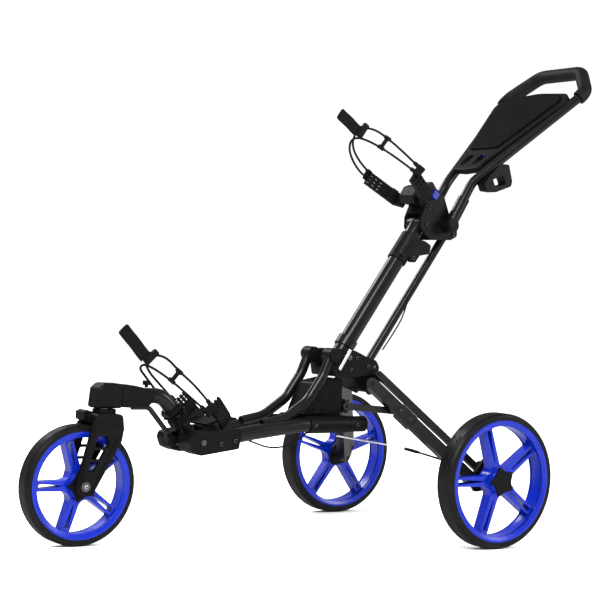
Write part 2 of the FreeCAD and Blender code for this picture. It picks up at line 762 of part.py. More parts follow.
def link_offset():
    """From a leg's pivots to its thin link's pivots: the two stay parallel."""
    return Vector(18, 0, 22)


def leg_axis(side):
    """Fold axis of one leg; a positive turn swings the wheel forward and down."""
    return link_offset().cross(leg_foot(side) - leg_root(side)).normalize()


def inward(side):
    """Along the fold axis, towards the middle plane."""
    return leg_axis(side) * -side


def brace_ends(side):
    """The flat brace lies just inboard of its leg, in a parallel plane."""
    leg_point = leg_root(side) + (leg_foot(side) - leg_root(side)) * 0.26
    outer = leg_point + inward(side) * 17
    root_x, root_z = size.at(-214, 284).x, 284
    axis = leg_axis(side)
    depth = axis.dot(outer)
    root_y = (depth - axis.x * root_x - axis.z * root_z) / axis.y
    return Vector(root_x, root_y, root_z), outer


def main_pivot():
    return size.at(-220, 392)


def rod_pivot():
    return size.at(-141.6, 372)


def fold_reach():
    """From the lower pivots of main tube and thin rod to their upper pivots."""
    return Vector(210.6, 308, 0)


def make_hub():
    """Centre hub: two cheeks around the main tube, a tail for the thin rod, ears for the legs."""
    body = new_body("hub_block")
    pad_profile(body, [
        size.at(-256, 350), size.at(-262, 378), size.at(-260, 406), size.at(-236, 409),
        size.at(-206, 408), size.at(-174, 395), size.at(-152, 376), size.at(-158, 356),
        size.at(-210, 347),
    ], [6, 8, 6, 8, 8, 8, 8, 8, 10], "Sizes.hub_width")
    pad_profile(body, [
        size.at(-200, 349), size.at(-200, 392), size.at(-156, 392), size.at(-136, 386),
        size.at(-127, 372), size.at(-131, 345), size.at(-128, 322), size.at(-150, 314),
        size.at(-180, 322),
    ], [0, 0, 8, 6, 6, 4, 6, 6, 6], "Sizes.rod_diameter + 45")
    cut_profile(body, [
        size.at(-300, 369), size.at(-200, 369), size.at(-192, 378), size.at(-186, 450),
        size.at(-300, 450),
    ], [0, 8, 8, 0, 0], "Sizes.hub_slot")
    cut_profile(body, [
        size.at(-150, 356), size.at(-110, 356), size.at(-110, 430), size.at(-218, 430),
        size.at(-157, 366),
    ], [6, 0, 0, 0, 6], "Sizes.rod_diameter + 5")
    for side in SIDES.values():
        for point, gap in ((leg_root(side), 12), (leg_root(side) + link_offset(), 7)):
            step = inward(side)
            round_solid(body, "Additive", point + step * gap, point + step * 48, "8")
            round_solid(body, "Additive", point - step * gap, point + step * gap, "Sizes.pin_radius")
        low = size.place(-266, side * 25, 396)
        high = size.place(-266, side * (size.bow_spread + 14), 396)
        round_solid(body, "Additive", low, high, "Sizes.bow_diameter / 2 + 5")
        bend, top = [size.place(x, side * size.bow_spread, z) for x, z in BOW_ROUTE[-2:]]
        round_solid(body, "Subtractive", bend, top, "Sizes.bow_diameter / 2")
    cut_bore(body, main_pivot(), "Sizes.pin_radius + 2", size.pin_radius + 2)
    cut_bore(body, rod_pivot(), "Sizes.pin_radius", size.pin_radius)
    return body


def make_centre_plate():
    """Dark triangular bracket that ties the hub to the bottom tubes and holds the braces."""
    body = new_body("centre_plate")
    pad_profile(body, [
        size.at(-256, 345), size.at(-300, 336), size.at(-318, 296), size.at(-330, 268),
        size.at(-224, 268), size.at(-226, 345),
    ], [3, 10, 12, 6, 6, 6], "2 * Sizes.bow_spread - Sizes.bow_diameter - 2")
    cut_profile(body, [
        size.at(-262, 330), size.at(-288, 324), size.at(-302, 290), size.at(-240, 282),
        size.at(-242, 326),
    ], 6, "2 * Sizes.bow_spread - Sizes.bow_diameter - 12")
    pad_profile(body, [
        size.at(-226, 270), size.at(-196, 270), size.at(-196, 290), size.at(-226, 300),
    ], [0, 5, 5, 0], "34")
    for side in SIDES.values():
        root, outer = brace_ends(side)
        step = inward(side)
        round_solid(body, "Additive", root + step * 4, root + step * 26, "8")
        round_solid(body, "Additive", root - step * 4, root + step * 4, "Sizes.pin_radius")
    for x in (-300, -276):
        cut_bore(body, size.at(x, 276), "2.5", 2.5)
    return body


def make_pivot_pins():
    """Steel pins of the main fold, the front fold and the thin rod."""
    body = doc.addObject("Part::Compound", "pivot_pins")
    body.Label = "pivot_pins"
    pins = []
    for name, centre, radius, reach in (
        ("main", main_pivot(), "Sizes.pin_radius + 2", size.hub_width / 2 + 2),
        ("rod", rod_pivot(), "Sizes.pin_radius", size.rod_diameter / 2 + 24),
        ("front", front_fold_pivot(), "Sizes.pin_radius + 2", size.tube_spread + 19),
    ):
        pin = doc.addObject("Part::Cylinder", f"pin_{name}")
        pin.setExpression("Radius", radius)
        pin.Height = 2 * reach
        pin.Placement = Placement(Vector(centre.x, reach, centre.y), Rotation(Vector(1, 0, 0), 90))
        pins.append(pin)
    body.Links = pins
    finished.append(body)


# ---------------------------------------------------------------- main tube and upper block

def lug(body, point, expression, width):
    """A round boss across the end of a tube."""
    sketch = new_sketch(body)
    draw_circle(sketch, point, expression, size.main_tube_diameter / 2)
    return pad(body, sketch, width)


def make_main_tube():
    """Main tube and thin rod, and the collar and latch that lock the fold."""
    low = main_pivot()
    high = low + fold_reach()
    body = pipe_in_plane("main_tube", 0, [low, high], [0, 0], "main_tube_diameter")
    for point in (low, high):
        lug(body, point, "Sizes.main_tube_diameter / 2 - 1", "Sizes.hub_slot - 4")
        cut_bore(body, point, "Sizes.pin_radius + 2 + Sizes.running_fit",
                 size.pin_radius + 2 + size.running_fit)

    rod_low = rod_pivot()
    rod_high = rod_low + fold_reach()
    rod = pipe_in_plane("fold_rod", 0, [rod_low, rod_high], [0, 0], "rod_diameter")
    for point in (rod_low, rod_high):
        sketch = new_sketch(rod)
        draw_circle(sketch, point, "Sizes.rod_diameter / 2 + 1", size.rod_diameter / 2 + 1)
        pad(rod, sketch, "Sizes.rod_diameter + 2")
        cut_bore(rod, point, "Sizes.pin_radius + Sizes.running_fit",
                 size.pin_radius + size.running_fit)

    direction = fold_reach().normalize()

    def on_axis(distance):
        point = low + direction * distance
        return Vector(point.x, 0, point.y)

    round_solid(body, "Additive", on_axis(26), on_axis(48), "Sizes.main_tube_diameter / 2 + 4")

    collar = new_body("fold_collar")
    round_solid(collar, "Additive", on_axis(268), on_axis(336), "Sizes.main_tube_diameter / 2 + 3.5")
    plate = new_sketch(collar)
    plate.AttachmentOffset = Placement(Vector(0, 0, 17), Rotation())
    draw_outline(plate, [
        size.at(-34, 666), size.at(-4, 661), size.at(14, 652), size.at(10, 632),
        size.at(-18, 627), size.at(-30, 611), size.at(-45, 611), size.at(-52, 636),
    ], [3, 6, 5, 6, 3, 4, 5, 5])
    pad(collar, plate, "8")
    round_solid(collar, "Subtractive", on_axis(260), on_axis(340), "Sizes.main_tube_diameter / 2")
    cut_bore(collar, size.at(-36, 621), "3.5", 3.5)

    latch = new_body("fold_latch", -24.3)
    pad_profile(latch, [
        size.at(-80, 628), size.at(-66, 622), size.at(-34, 668), size.at(-46, 678),
    ], [3, 4, 6, 6], "3")
    for step in range(3):
        shift = Vector(4.2 * step, -2.9 * step, 0)
        cut_profile(latch, [
            size.at(-71, 633) + shift, size.at(-69.5, 632) + shift,
            size.at(-48.5, 663) + shift, size.at(-50, 664) + shift,
        ], 0)


def make_upper_block():
    """Fork of two thin cheeks over the main tube's end; it carries bag bracket and handle."""
    body = new_body("upper_block")
    pad_profile(body, [
        size.at(-27, 690), size.at(-27, 716), size.at(-16, 742), size.at(-14, 786),
        size.at(-1, 800), size.at(13, 782), size.at(36, 768), size.at(56, 722),
        size.at(80, 700), size.at(80, 676), size.at(62, 667), size.at(6, 664),
    ], [8, 8, 8, 6, 6, 6, 8, 8, 8, 8, 6, 12], "Sizes.block_width")
    cut_profile(body, [
        size.at(-80, 640), size.at(110, 640), size.at(110, 716), size.at(40, 724),
        size.at(-80, 724),
    ], [0, 0, 0, 6, 0], "Sizes.block_gap")
    high = main_pivot() + fold_reach()
    rod_high = rod_pivot() + fold_reach()
    for point, expression in ((high, "Sizes.pin_radius + 2"), (rod_high, "Sizes.pin_radius")):
        sketch = new_sketch(body)
        draw_circle(sketch, point, expression, size.pin_radius)
        pad(body, sketch, "Sizes.block_width + 1")
    pivot = handle_pivot()
    sketch = new_sketch(body)
    draw_circle(sketch, pivot, "Sizes.pin_radius + 1", size.pin_radius + 1)
    pad(body, sketch, "Sizes.handle_pin_reach")
    cut_profile(body, [
        pivot + Vector(-9, -9, 0), pivot + Vector(9, -9, 0), pivot + Vector(9, 9, 0),
        pivot + Vector(-9, 9, 0),
    ], 4, "Sizes.block_gap")
    return body


def handle_pivot():
    return size.at(46, 700)


def make_upper_bag_bracket():
    """Block that carries the two upper bag arms, and the small cam lever beside it."""
    body = new_body("upper_bag_bracket")
    pad_profile(body, [
        size.at(-44, 746), size.at(-17, 743), size.at(-15, 784), size.at(-22, 790),
        size.at(-38, 784), size.at(-50, 762),
    ], [3, 1, 1, 5, 5, 5], "Sizes.bracket_height")

    cam = new_body("release_cam", -31.5 - 4.2)
    pad_profile(cam, [
        size.at(-4, 762), size.at(8, 756), size.at(18, 768), size.at(4, 780),
    ], 3, "8")


# ---------------------------------------------------------------- handle and console

def handle_slope():
    return math.atan2(227, 254)


def handle_points(side):
    """Centre line of one side of the handle loop, from its pivot to the middle of the top bar."""
    return [
        size.place(46, side * 46, 700), size.place(106, side * 46, 803),
        size.place(362, side * 138, 1032), size.place(410, side * 70, 1088),
    ]


def make_handle():
    """Bent handle tube with its two pivot eyes and lower sleeves, and the grip round its top."""
    left = handle_points(-1)
    right = handle_points(1)
    loop = left + right[::-1]
    radii = [0, 60, 40, 40, 40, 40, 60, 0]
    centre_line = space_path(loop, radii)
    outer = swept_round(centre_line, size.handle_diameter / 2)
    hollow = swept_round(centre_line, size.handle_diameter / 2 - size.tube_wall)
    eyes = []
    for side in (-1, 1):
        eye = Part.makeCylinder(16, 26, left[0] + Vector(0, 46 * (side + 1) - 13, 0), Vector(0, 1, 0))
        eyes.append(eye)
    frame = outer.fuse(eyes)
    for side in (-1, 1):
        start, bend = handle_points(side)[:2]
        sleeve_end = start + (bend - start) * 0.62
        sleeve = Part.makeCylinder(14, (sleeve_end - start).Length, start, sleeve_end - start)
        frame = frame.fuse(sleeve)
    bore = size.pin_radius + 1 + size.running_fit
    frame = frame.cut(Part.makeCylinder(bore, 160, left[0] - Vector(0, 40, 0), Vector(0, 1, 0)))
    keep_shape("handle_frame", frame.cut(hollow))

    grip_path = [
        left[2] + (left[1] - left[2]) * 0.064, left[2], left[3],
        right[3], right[2], right[2] + (right[1] - right[2]) * 0.064,
    ]
    spine = space_path(grip_path, [0, 40, 40, 40, 40, 0])
    foam = swept_round(spine, size.grip_diameter / 2)
    keep_shape("handle_grip", foam.cut(outer))


def console_frame(distance, lift):
    """A placement on the handle's plane, so far up from its lower bend."""
    slope = handle_slope()
    origin = size.place(111, 0, 803)
    up = Vector(math.cos(slope), 0, math.sin(slope))
    normal = Vector(-math.sin(slope), 0, math.cos(slope))
    return Placement(origin + up * distance + normal * lift,
                     Rotation(Vector(0, 1, 0), -math.degrees(slope)))


def draw_console(label, distance, lift, outline, radii, expression):
    body = new_body(label)
    body.Placement = console_frame(distance, lift)
    sketch = new_sketch(body, "XY_Plane")
    draw_outline(sketch, outline, radii)
    pad(body, sketch, expression, False)
    return body


def make_console():
    """Console shell across the handle, with two cup holes and a tray, and its hinged lid."""
    shell = draw_console("console_body", 0, 5, [
        Vector(30, -46, 0), Vector(60, -50, 0), Vector(292, -130, 0), Vector(318, -104, 0),
        Vector(330, 0, 0), Vector(318, 104, 0), Vector(292, 130, 0), Vector(60, 50, 0),
        Vector(30, 46, 0), Vector(24, 0, 0),
    ], [8, 10, 24, 30, 150, 30, 24, 10, 8, 40], "Sizes.console_depth")
    soften(shell, lambda edge: edge.BoundBox.ZLength < 0.01, 4)
    for side in SIDES.values():
        cut = new_sketch(shell, "XY_Plane")
        draw_outline(cut, [
            Vector(44, side * 22 - 11, 0), Vector(82, side * 22 - 13, 0),
            Vector(82, side * 22 + 13, 0), Vector(44, side * 22 + 11, 0),
        ], 9)
        pocket(shell, cut)
        start, end = handle_points(side)[1:3]
        inverse = shell.Placement.inverse()
        round_solid(shell, "Subtractive", inverse.multVec(start), inverse.multVec(end),
                    "Sizes.handle_diameter / 2 + 0.2")
    tray_sketch = new_sketch(shell, "XY_Plane")
    tray_sketch.AttachmentOffset = Placement(Vector(0, 0, 12), Rotation())
    draw_outline(tray_sketch, [
        Vector(112, -44, 0), Vector(276, -98, 0), Vector(304, 0, 0), Vector(276, 98, 0),
        Vector(112, 44, 0),
    ], [12, 16, 120, 16, 12])
    tray = shell.newObject("PartDesign::Pocket", "tray")
    tray.Profile = tray_sketch
    tray.Midplane = True
    tray.Length = 12
    lid = draw_console("console_lid", 0, 21.3, [
        Vector(104, -48, 0), Vector(284, -112, 0), Vector(308, -92, 0), Vector(318, 0, 0),
        Vector(308, 92, 0), Vector(284, 112, 0), Vector(104, 48, 0),
    ], [10, 18, 24, 150, 24, 18, 10], "Sizes.lid_thickness")
    soften(lid, lambda edge: edge.BoundBox.ZLength < 0.01 and edge.BoundBox.ZMin > 4, 3)


def make_umbrella_mount():
    """A square ring clamped below the left handle tube, open through its middle."""
    body = new_body("umbrella_mount", -62)
    pad_profile(body, [
        size.at(119, 802), size.at(128, 784), size.at(153, 783), size.at(199, 800),
        size.at(202, 812), size.at(190, 850), size.at(166, 850), size.at(140, 826),
    ], [6, 6, 8, 6, 8, 4, 4, 6], "28")
    cut_profile(body, [
        size.at(143, 812), size.at(174, 823), size.at(184, 804), size.at(151, 795),
    ], 3)
    start, end = handle_points(-1)[1:3]
    shifted = Vector(0, 62, 0)
    round_solid(body, "Subtractive", start + shifted, end + shifted, "Sizes.handle_diameter / 2")
    return body


# ---------------------------------------------------------------- rear legs and brake

def make_rear_legs():
    """On each side a leg, the thin link parallel to it, a flat brace and the wheel's bracket."""
    for name, side in SIDES.items():
        axis = leg_axis(side)
        leg = flat_bar(f"rear_leg_{name}", leg_root(side), leg_foot(side), axis,
                       "leg_height", "leg_thickness")
        length = (leg_foot(side) - leg_root(side)).Length
        low, high, half = length * 0.27, length * 0.42, size.leg_height / 2
        pad_profile(leg, [
            Vector(low, -half - 3, 0), Vector(high, -half - 3, 0), Vector(high, half + 0.5, 0),
            Vector(low, half + 0.5, 0),
        ], [3, 3, 1, 1], "Sizes.leg_thickness + 5")
        flat_bar(f"leg_link_{name}", leg_root(side) + link_offset(), leg_foot(side) + link_offset(),
                 axis, "link_height", "link_thickness")
        root, outer = brace_ends(side)
        flat_bar(f"leg_brace_{name}", root, outer, axis, "link_height", "cover_thickness")

        bracket = new_body(f"wheel_bracket_{name}")
        bracket.Placement = Placement(Vector(0, side * 263, 0), Rotation())
        pad_profile(bracket, [
            size.at(-40, 132), size.at(-30, 118), size.at(14, 124), size.at(24, 146),
            size.at(16, 184), size.at(-8, 190), size.at(-32, 160),
        ], [6, 8, 10, 10, 10, 8, 10], "8")
        cut_bore(bracket, size.at(0, size.rear_radius), "Sizes.axle_radius", size.axle_radius)
        for point, gap in ((leg_foot(side), 12), (leg_foot(side) + link_offset(), 7)):
            shift = Vector(0, -side * 263, 0)
            step = inward(side)
            round_solid(bracket, "Additive", point + shift - step * 32, point + shift - step * gap, "8")
            round_solid(bracket, "Additive", point + shift - step * gap, point + shift + step * gap,
                        "Sizes.pin_radius")


def make_brake():
    """Foot pedal beside the left wheel, and the cable that runs to it along the frame."""
    pedal = new_body("brake_pedal", -247)
    pad_profile(pedal, [
        size.at(18, 150), size.at(34, 158), size.at(84, 128), size.at(102, 104),
        size.at(96, 98), size.at(70, 112), size.at(24, 132),
    ], [4, 8, 8, 3, 3, 8, 8], "22")

    route = [
        size.place(-252, -54, 221), size.place(-180, -60, 210), size.place(-112, -86, 200),
        size.place(-58, -140, 184), size.place(-22, -196, 168),
    ]
    cable = swept_round(space_path(route, [0, 120, 90, 90, 0]), size.cable_diameter / 2)
    keep_shape("brake_cable", cable)


make_front()
make_base()
make_bag_rests()
make_bottom_tubes()
make_hub()
make_centre_plate()
make_pivot_pins()
make_main_tube()
make_upper_block()
make_upper_bag_bracket()
make_handle()
make_console()
make_umbrella_mount()
make_rear_legs()
make_brake()
doc.recompute()

problems = [item.Name for item in doc.Objects if {"Invalid", "Error"} & set(item.State)]
os.makedirs("parts", exist_ok=True)
for item in finished:
    shape = item.Shape
    if shape.isNull() or not shape.isValid():
        problems.append(item.Label)
        continue
    shape.exportStep(f"parts/{item.Label}.step")
if problems:
    raise SystemExit("failed: " + ", ".join(problems))
print(len(finished), "parts")
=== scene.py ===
"""Golf push trolley: finishes, soft pieces, small hardware, light and camera over the CAD frame.

Everything is in metres. Forward is -X, the trolley's left side is -Y, and +Z is up.
"""

import json
import math

import bmesh
import bpy
from mathutils import Matrix, Vector


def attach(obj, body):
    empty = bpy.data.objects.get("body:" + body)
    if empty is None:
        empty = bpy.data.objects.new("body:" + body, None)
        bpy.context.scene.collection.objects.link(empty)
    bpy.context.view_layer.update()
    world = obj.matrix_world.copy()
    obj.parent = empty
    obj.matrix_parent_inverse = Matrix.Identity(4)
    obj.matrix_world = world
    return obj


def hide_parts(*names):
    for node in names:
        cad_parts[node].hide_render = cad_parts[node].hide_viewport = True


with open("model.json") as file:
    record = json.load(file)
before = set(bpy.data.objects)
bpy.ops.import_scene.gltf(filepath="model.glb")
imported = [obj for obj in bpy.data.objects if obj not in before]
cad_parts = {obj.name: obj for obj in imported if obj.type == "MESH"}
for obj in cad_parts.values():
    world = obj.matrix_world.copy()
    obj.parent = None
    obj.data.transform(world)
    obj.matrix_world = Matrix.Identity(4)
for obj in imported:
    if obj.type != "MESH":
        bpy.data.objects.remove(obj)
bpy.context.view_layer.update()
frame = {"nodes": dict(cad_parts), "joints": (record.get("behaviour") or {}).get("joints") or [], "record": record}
NODES = frame["nodes"]
PIVOT = {joint["name"]: Vector(joint["pos_m"]) for joint in frame["joints"]}
WHEEL_CENTRE = {
    "front": PIVOT["front_wheel_spin"],
    "rear_left": PIVOT["rear_wheel_left_spin"],
    "rear_right": PIVOT["rear_wheel_right_spin"],
}
SIDES = {"left": -1, "right": 1}


def at(x, y, z):
    """A point given in millimetres from the ground point under the rear axle."""
    return Vector((x / 1000 + WHEEL_CENTRE["rear_left"].x, y / 1000, z / 1000))


# ---------------------------------------------------------------- materials

class Finish:
    """One procedural material, built up node by node. Texture sizes are in metres."""

    def __init__(self, name, color, roughness, gloss=0.09, metal=False):
        self.material = bpy.data.materials.new(name)
        self.material.use_nodes = True
        self.tree = self.material.node_tree
        self.shader = self.tree.nodes["Principled BSDF"]
        self.shader.inputs["Base Color"].default_value = (*color, 1)
        if metal:
            self.shader.inputs["Metallic"].default_value = 1.0
            self.roughness_input = self.shader.inputs["Roughness"]
        else:
            # A thin coat alone gives the shine, so that steep angles stay dark.
            self.shader.inputs["Specular IOR Level"].default_value = 0
            self.shader.inputs["Coat Weight"].default_value = gloss
            self.roughness_input = self.shader.inputs["Coat Roughness"]
        self.roughness_input.default_value = roughness
        self.color = color
        self.normal = None
        self.place = self.node("TexCoord").outputs["Object"]

    def node(self, kind, **settings):
        made = self.tree.nodes.new(f"ShaderNode{kind}")
        for key, value in settings.items():
            setattr(made, key, value)
        return made

    def link(self, source, target):
        self.tree.links.new(source, target)

    def math(self, operation, first, second=None):
        """A Math node, whose inputs are numbers or other nodes' outputs."""
        made = self.node("Math", operation=operation)
        for socket, value in zip(made.inputs, (first, second)):
            if value is None:
                continue
            if isinstance(value, (int, float)):
                socket.default_value = value
            else:
                self.link(value, socket)
        return made.outputs[0]

    def noise(self, size, detail=2.0):
        made = self.node("TexNoise")
        made.inputs["Scale"].default_value = 1 / size
        made.inputs["Detail"].default_value = detail
        self.link(self.place, made.inputs["Vector"])
        return made.outputs["Fac"]

    def cells(self, size):
        made = self.node("TexVoronoi")
        made.inputs["Scale"].default_value = 1 / size
        self.link(self.place, made.inputs["Vector"])
        return made.outputs["Distance"]

    def bands(self, source, low, high):
        """Maps a value to 0..1 between two levels."""
        made = self.node("MapRange")
        self.link(source, made.inputs["Value"])
        made.inputs["From Min"].default_value = low
        made.inputs["From Max"].default_value = high
        return made.outputs["Result"]

    def vary_color(self, source, second_color):
        """Mixes the colour so far with a second one."""
        mix = self.node("Mix", data_type="RGBA")
        color_input = self.shader.inputs["Base Color"]
        if color_input.links:
            self.link(color_input.links[0].from_socket, mix.inputs["A"])
        else:
            mix.inputs["A"].default_value = (*self.color, 1)
        mix.inputs["B"].default_value = (*second_color, 1)
        self.link(source, mix.inputs["Factor"])
        self.link(mix.outputs["Result"], color_input)

    def vary_roughness(self, source, low, high):
        made = self.node("MapRange")
        self.link(source, made.inputs["Value"])
        made.inputs["To Min"].default_value = low
        made.inputs["To Max"].default_value = high
        self.link(made.outputs["Result"], self.roughness_input)

    def set_normal(self, output):
        self.normal = output
        self.link(output, self.shader.inputs["Normal"])
        self.link(output, self.shader.inputs["Coat Normal"])

    def round_edges(self, radius):
        """Sharp edges catch the light as if they had a small radius."""
        made = self.node("Bevel", samples=4)
        made.inputs["Radius"].default_value = radius
        self.set_normal(made.outputs["Normal"])

    def paint_edge_highlight(self, radius, highlight_color, strength):
        """Where the rounded normal leaves the flat one, the colour is made lighter: a painted highlight along the
        edges, broken up by noise.
        """
        made = self.node("Bevel", samples=4)
        made.inputs["Radius"].default_value = radius
        flat = self.node("NewGeometry").outputs["Normal"]
        dot = self.node("VectorMath", operation="DOT_PRODUCT")
        self.link(made.outputs["Normal"], dot.inputs[0])
        self.link(flat, dot.inputs[1])
        edge = self.math("SUBTRACT", 1.0, dot.outputs["Value"])
        edge = self.math("MULTIPLY", self.bands(edge, 0.02, 0.3), strength)
        broken = self.math("MULTIPLY", edge, self.bands(self.noise(0.006, 3), 0.35, 0.65))
        # Painted highlight: the edges are mixed toward the lighter colour.
        self.vary_color(broken, highlight_color)

    def emboss(self, source, depth):
        """Adds relief: the source's 0..1 is that many metres high."""
        made = self.node("Bump")
        made.inputs["Distance"].default_value = depth
        self.link(source, made.inputs["Height"])
        if self.normal:
            self.link(self.normal, made.inputs["Normal"])
        self.set_normal(made.outputs["Normal"])


def moulded_plastic(name, color, roughness=0.4, grain=0.0009, depth=0.00008, edge=0.0012):
    """Injection-moulded plastic: fine spark-eroded grain, and a painted highlight along the edges."""
    finish = Finish(name, color, roughness)
    finish.round_edges(edge)
    finish.vary_color(finish.bands(finish.noise(0.03, 3), 0.35, 0.75), [c * 1.6 for c in color])
    # Painted highlight: the edges are lighter than the rest of the plastic.
    finish.paint_edge_highlight(0.0012, [c * 3.2 for c in color], 0.75)
    finish.vary_roughness(finish.noise(0.012, 4), roughness - 0.08, roughness + 0.12)
    finish.emboss(finish.cells(grain), depth)
    return finish


LID_GLOSS = 0.04
LID_TAPER = 0.30
LID_LINE_HALF_WIDTH = 0.034
LID_TOP_MARGIN = 0.012


def lid_plastic(name, color):
    """Matt console lid: a moulded line along each edge, spreading upward, and one near its top."""
    finish = moulded_plastic(name, color, 0.5, 0.0007, 0.00006)
    finish.shader.inputs["Coat Weight"].default_value = LID_GLOSS
    split = finish.node("SeparateXYZ")
    finish.link(finish.place, split.inputs[0])
    x, y, _ = split.outputs
    lid_low, lid_high = at(205, 0, 0).x, at(320, 0, 0).x
    spread = finish.math("MULTIPLY", x, LID_TAPER)
    edge = finish.math("SUBTRACT", finish.math("ABSOLUTE", y), spread)
    start = LID_TAPER * lid_low - LID_LINE_HALF_WIDTH
    side_line = finish.math("ABSOLUTE", finish.math("ADD", edge, start))
    top_line = finish.math("ABSOLUTE", finish.math("SUBTRACT", x, lid_high - LID_TOP_MARGIN))
    nearest = finish.math("MINIMUM", side_line, top_line)
    finish.emboss(finish.bands(nearest, 0.0, 0.0018), 0.0012)
    return finish


def powder_coat(name, color):
    """Satin powder coat on tube: slight orange peel and long soft scuffs."""
    finish = Finish(name, color, 0.2, 0.26)
    finish.round_edges(0.0006)
    finish.vary_color(finish.bands(finish.noise(0.05, 4), 0.4, 0.8), [c * 1.7 for c in color])
    # Painted highlight along the tube's edges.
    finish.paint_edge_highlight(0.001, [c * 3 for c in color], 0.6)
    finish.vary_roughness(finish.noise(0.02, 5), 0.16, 0.3)
    finish.emboss(finish.noise(0.0022, 1), 0.00007)
    return finish


def gloss_blue(name, color):
    """Self-coloured gloss plastic of the rims: flow marks, moulding haze, soft edges."""
    finish = Finish(name, color, 0.22, 0.34)
    finish.round_edges(0.0016)
    finish.vary_color(finish.bands(finish.noise(0.04, 2), 0.3, 0.8), [c * 0.72 for c in color])
    # Painted highlight along the rim's edges, in a paler blue.
    finish.paint_edge_highlight(0.0014, (0.03, 0.07, 0.5), 0.5)
    finish.vary_roughness(finish.noise(0.015, 4), 0.16, 0.3)
    finish.emboss(finish.noise(0.004, 2), 0.00008)
    return finish


def brushed_steel(name, color):
    finish = Finish(name, color, 0.32, metal=True)
    finish.round_edges(0.0005)
    finish.vary_color(finish.noise(0.004, 5), [c * 0.7 for c in color])
    finish.vary_roughness(finish.noise(0.001, 4), 0.22, 0.45)
    finish.emboss(finish.noise(0.0008, 3), 0.00003)
    return finish


def polar(finish, centre):
    """Angle, distance and sideways place of a point about a wheel's axle, as node outputs."""
    shift = finish.node("VectorMath", operation="SUBTRACT")
    finish.link(finish.place, shift.inputs[0])
    shift.inputs[1].default_value = centre
    split = finish.node("SeparateXYZ")
    finish.link(shift.outputs["Vector"], split.inputs[0])
    x, y, z = split.outputs
    angle = finish.math("ARCTAN2", z, x)
    distance = finish.math("SQRT", finish.math("ADD", finish.math("MULTIPLY", x, x),
                                               finish.math("MULTIPLY", z, z)))
    return angle, distance, y


def tyre_rubber(name, centre, radius, tread_waves):
    """Foam rubber: satin skin, a moulded ring on the side wall and long waves in the tread."""
    finish = Finish(name, (0.0026, 0.0026, 0.0029), 0.3, 0.13)
    finish.vary_color(finish.bands(finish.noise(0.02, 4), 0.4, 0.75), (0.0055, 0.0055, 0.006))
    finish.vary_roughness(finish.noise(0.01, 4), 0.28, 0.45)
    angle, distance, sideways = polar(finish, centre)
    finish.emboss(finish.cells(0.0016), 0.0001)
    ring = finish.math("ABSOLUTE", finish.math("SUBTRACT", distance, radius - 0.007))
    finish.emboss(finish.bands(ring, 0.0, 0.0011), 0.0006)
    sway = finish.math("SINE", finish.math("MULTIPLY", angle, tread_waves))
    sway = finish.math("MULTIPLY", sway, 0.004)
    off_middle = finish.math("SUBTRACT", finish.math("ABSOLUTE", sideways), 0.009)
    groove = finish.math("SUBTRACT", finish.math("ABSOLUTE", off_middle), sway)
    groove = finish.math("ABSOLUTE", groove)
    on_tread = finish.bands(distance, radius - 0.003, radius - 0.001)
    in_groove = finish.math("SUBTRACT", 1.0, finish.bands(groove, 0.0, 0.0016))
    cut = finish.math("MULTIPLY", in_groove, on_tread)
    finish.emboss(finish.math("SUBTRACT", 1.0, cut), 0.0012)
    return finish


def grip_rubber(name):
    """Soft grip: raised pips in rows under a fine skin."""
    finish = Finish(name, (0.0026, 0.0026, 0.0029), 0.38, 0.13)
    finish.round_edges(0.001)
    finish.vary_color(finish.bands(finish.noise(0.02, 4), 0.35, 0.7), (0.005, 0.005, 0.0054))
    finish.vary_roughness(finish.noise(0.01, 3), 0.4, 0.6)
    finish.emboss(finish.bands(finish.cells(0.0042), 0.15, 0.45), 0.0004)
    finish.emboss(finish.noise(0.0008, 2), 0.0001)
    return finish


def braided_elastic(name):
    """Woven sheath of the elastic: two crossing sets of fine threads."""
    finish = Finish(name, (0.0028, 0.0028, 0.0032), 0.6, 0.08)
    threads = []
    for direction in ((900, 500, 1100), (-900, 700, 1100)):
        dot = finish.node("VectorMath", operation="DOT_PRODUCT")
        finish.link(finish.place, dot.inputs[0])
        dot.inputs[1].default_value = direction
        threads.append(finish.math("SINE", dot.outputs["Value"]))
    weave = finish.bands(finish.math("MULTIPLY", *threads), -0.6, 0.8)
    finish.vary_color(weave, (0.005, 0.005, 0.0055))
    finish.emboss(weave, 0.00015)
    return finish


def webbing(name, along, across):
    """Flat woven strap: ribs along its length, crossed by finer weft."""
    finish = Finish(name, (0.0022, 0.0022, 0.0025), 0.7, 0.05)
    waves = []
    for direction, pitch in ((across, 0.0022), (along, 0.0013)):
        dot = finish.node("VectorMath", operation="DOT_PRODUCT")
        finish.link(finish.place, dot.inputs[0])
        dot.inputs[1].default_value = Vector(direction).normalized() * (2 * math.pi / pitch)
        waves.append(finish.math("SINE", dot.outputs["Value"]))
    weave = finish.bands(finish.math("ADD", *waves), -1.4, 1.4)
    finish.vary_color(weave, (0.0075, 0.0075, 0.0085))
    finish.emboss(weave, 0.0005)
    return finish


BLACK = (0.0022, 0.0022, 0.0024)
finishes = {
    "moulded_black": moulded_plastic("moulded_black_plastic", BLACK),
    "cast_black": moulded_plastic("cast_black_metal", BLACK, 0.34, 0.0014, 0.00012),
    "frame_black": powder_coat("powder_coat_black", (0.0022, 0.0022, 0.0025)),
    "rim_blue": gloss_blue("gloss_blue_plastic", (0.0015, 0.012, 0.26)),
    "cam_blue": gloss_blue("gloss_blue_button", (0.002, 0.010, 0.16)),
    "steel": brushed_steel("brushed_steel", (0.5, 0.5, 0.51)),
    "dark_steel": brushed_steel("blackened_steel", (0.06, 0.06, 0.064)),
    "grip_rubber": grip_rubber("soft_grip_rubber"),
    "elastic_black": braided_elastic("braided_elastic_sheath"),
    "cable_black": moulded_plastic("cable_sheath", BLACK, 0.35, 0.0006, 0.00004, 0.0003),
}
